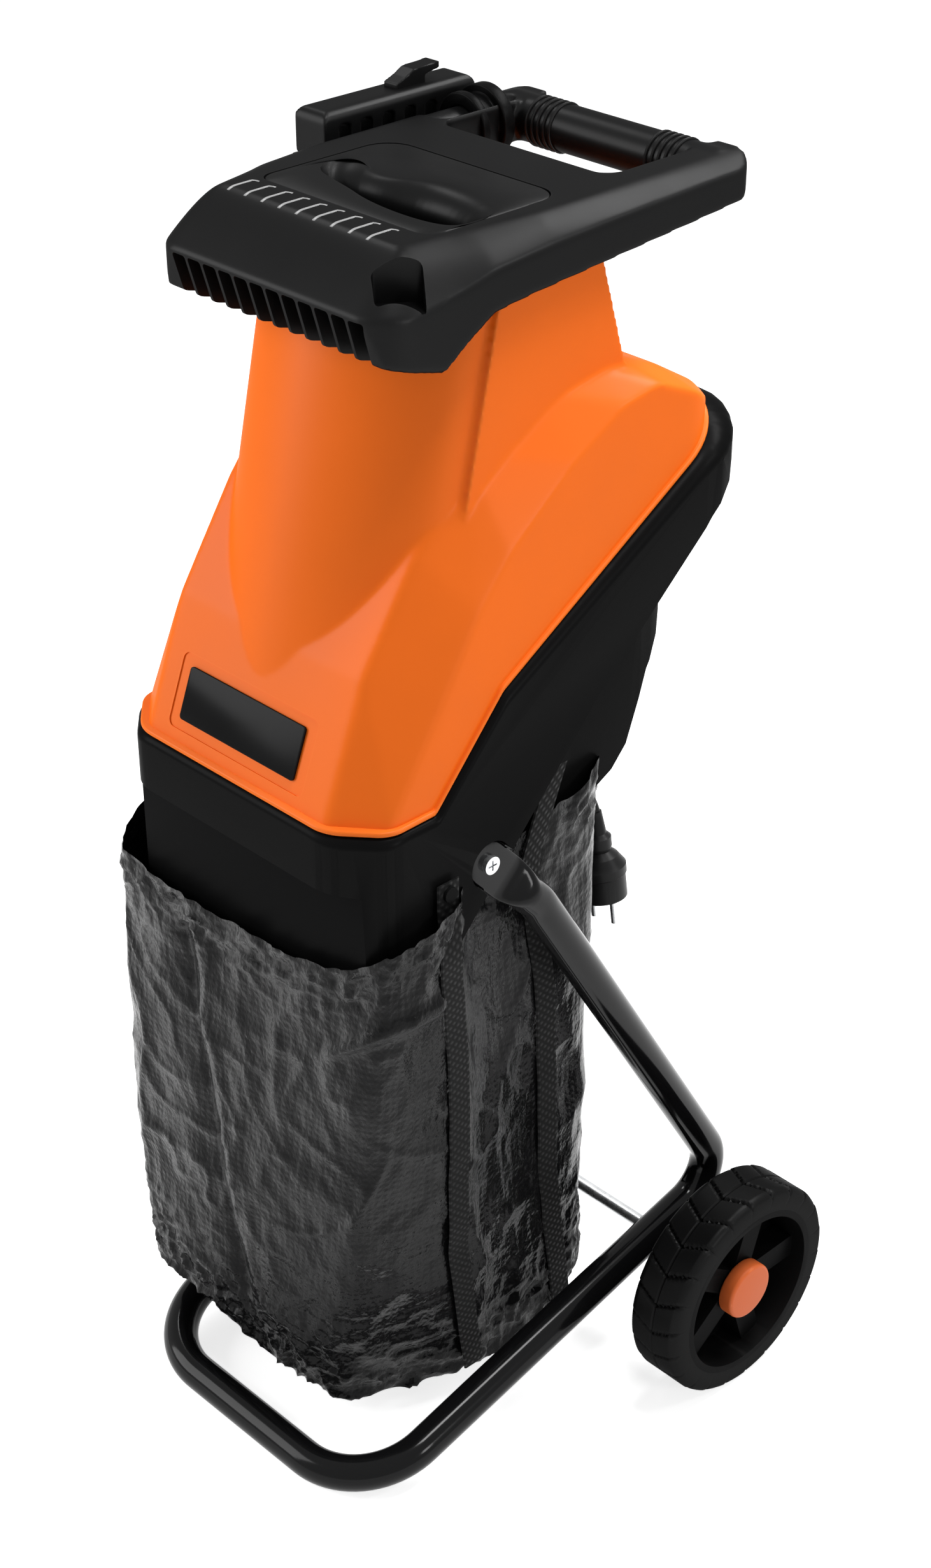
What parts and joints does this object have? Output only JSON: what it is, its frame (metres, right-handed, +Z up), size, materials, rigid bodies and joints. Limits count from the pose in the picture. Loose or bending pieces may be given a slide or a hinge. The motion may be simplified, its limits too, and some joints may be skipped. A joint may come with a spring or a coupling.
{
  "type": "garden shredder",
  "caption": "Upright garden shredder on a wheeled tube frame: orange cutter housing, black feed lid with handle, parked pusher, hung collecting bag.",
  "frame": {"origin": "on the floor, at the middle of the part's bounding box", "axes": "+Z up; the sloped front and discharge tub face -Y, the wheels are at +Y, +X is the side away from the pusher"},
  "size_m": [0.415, 0.378, 0.8754],
  "materials": {
    "black_plastic": "satin, fine grain",
    "orange_plastic": "satin",
    "plate_black": "gloss",
    "tube_paint": "gloss",
    "wheel_plastic": "satin",
    "zinc_steel": "zinc plated",
    "bright_steel": "ground",
    "cast_alloy": "cast",
    "painted_can": "satin",
    "winding_copper": "lacquered",
    "insert_brass": "plain",
    "green_button": "gloss",
    "red_button": "gloss",
    "bag_weave": "shiny woven film",
    "webbing": "woven, dull",
    "cord_rubber": "satin"
  },
  "bodies": {
    "base": {"frame_tube": "tube_paint", "frame_screws": "zinc_steel", "axle": "zinc_steel", "axle_spacers": "black_plastic", "axle_nuts": "zinc_steel", "lower_housing": "black_plastic", "motor_cover": "black_plastic", "cover_screws": "zinc_steel", "motor_flange": "cast_alloy", "motor_can": "painted_can", "motor_stator": "winding_copper", "motor_end_bracket": "cast_alloy", "brush_holders": "winding_copper", "shaft_bearings": "bright_steel", "flange_screws": "zinc_steel", "switch_box": "black_plastic", "safety_switch": "black_plastic", "bag": "bag_weave", "bag_straps": "webbing", "strap_hooks": "black_plastic", "cord_gland": "cord_rubber", "mains_lead": "cord_rubber", "plug": "cord_rubber", "plug_pins": "zinc_steel"},
    "rotor": {"motor_shaft": "bright_steel", "armature": "winding_copper", "commutator": "winding_copper", "cooling_fan": "black_plastic", "cutting_disc": "bright_steel", "cutting_blades": "bright_steel", "blade_screws": "zinc_steel", "disc_bolt": "zinc_steel"},
    "hopper": {"upper_housing": "orange_plastic", "name_plate": "plate_black", "feed_channel": "black_plastic", "hopper_lid": "black_plastic", "feed_panel": "black_plastic", "lid_screws": "zinc_steel", "arm_collar": "black_plastic", "pusher_holder": "black_plastic", "lock_insert": "insert_brass"},
    "pusher": {"pusher": "black_plastic", "pusher_hook": "black_plastic"},
    "knob": {"lock_knob": "black_plastic"},
    "start": {"start_button": "green_button"},
    "stop": {"stop_button": "red_button"},
    "reset": {"reset_button": "black_plastic"},
    "wheel_left": {"wheel_rim_left": "wheel_plastic", "tyre_left": "wheel_plastic", "hub_cap_left": "orange_plastic"},
    "wheel_right": {"wheel_rim_right": "wheel_plastic", "tyre_right": "wheel_plastic", "hub_cap_right": "orange_plastic"}
  },
  "joints": [
    {"name": "rotor_spin", "type": "hinge", "parent": "base", "child": "rotor", "pos_m": [0, 0.02, 0.623], "axis": [0, -0.5, 0.866], "continuous": true},
    {"name": "hopper_tilt", "type": "hinge", "parent": "base", "child": "hopper", "pos_m": [0, -0.1662, 0.5232], "axis": [1, 0, 0], "range_deg": [0, 55]},
    {"name": "pusher_lift", "type": "slide", "parent": "hopper", "child": "pusher", "axis": [0, 0, 1], "range_m": [0, 0.15]},
    {"name": "knob_turn", "type": "hinge", "parent": "base", "child": "knob", "pos_m": [0, 0.163, 0.66169], "axis": [0, -0.5, 0.866], "continuous": true},
    {"name": "start_press", "type": "slide", "parent": "base", "child": "start", "axis": [1, 0, 0], "range_m": [0, 0.003], "stiffness_N_per_m": 600, "springref_m": -0.002},
    {"name": "stop_press", "type": "slide", "parent": "base", "child": "stop", "axis": [1, 0, 0], "range_m": [0, 0.003], "stiffness_N_per_m": 600, "springref_m": -0.002},
    {"name": "reset_press", "type": "slide", "parent": "base", "child": "reset", "axis": [1, 0, 0], "range_m": [0, 0.003], "stiffness_N_per_m": 600, "springref_m": -0.002},
    {"name": "wheel_left_spin", "type": "hinge", "parent": "base", "child": "wheel_left", "pos_m": [0, 0.109, 0.08], "axis": [1, 0, 0], "continuous": true},
    {"name": "wheel_right_spin", "type": "hinge", "parent": "base", "child": "wheel_right", "pos_m": [0, 0.109, 0.08], "axis": [1, 0, 0], "continuous": true}
  ]
}
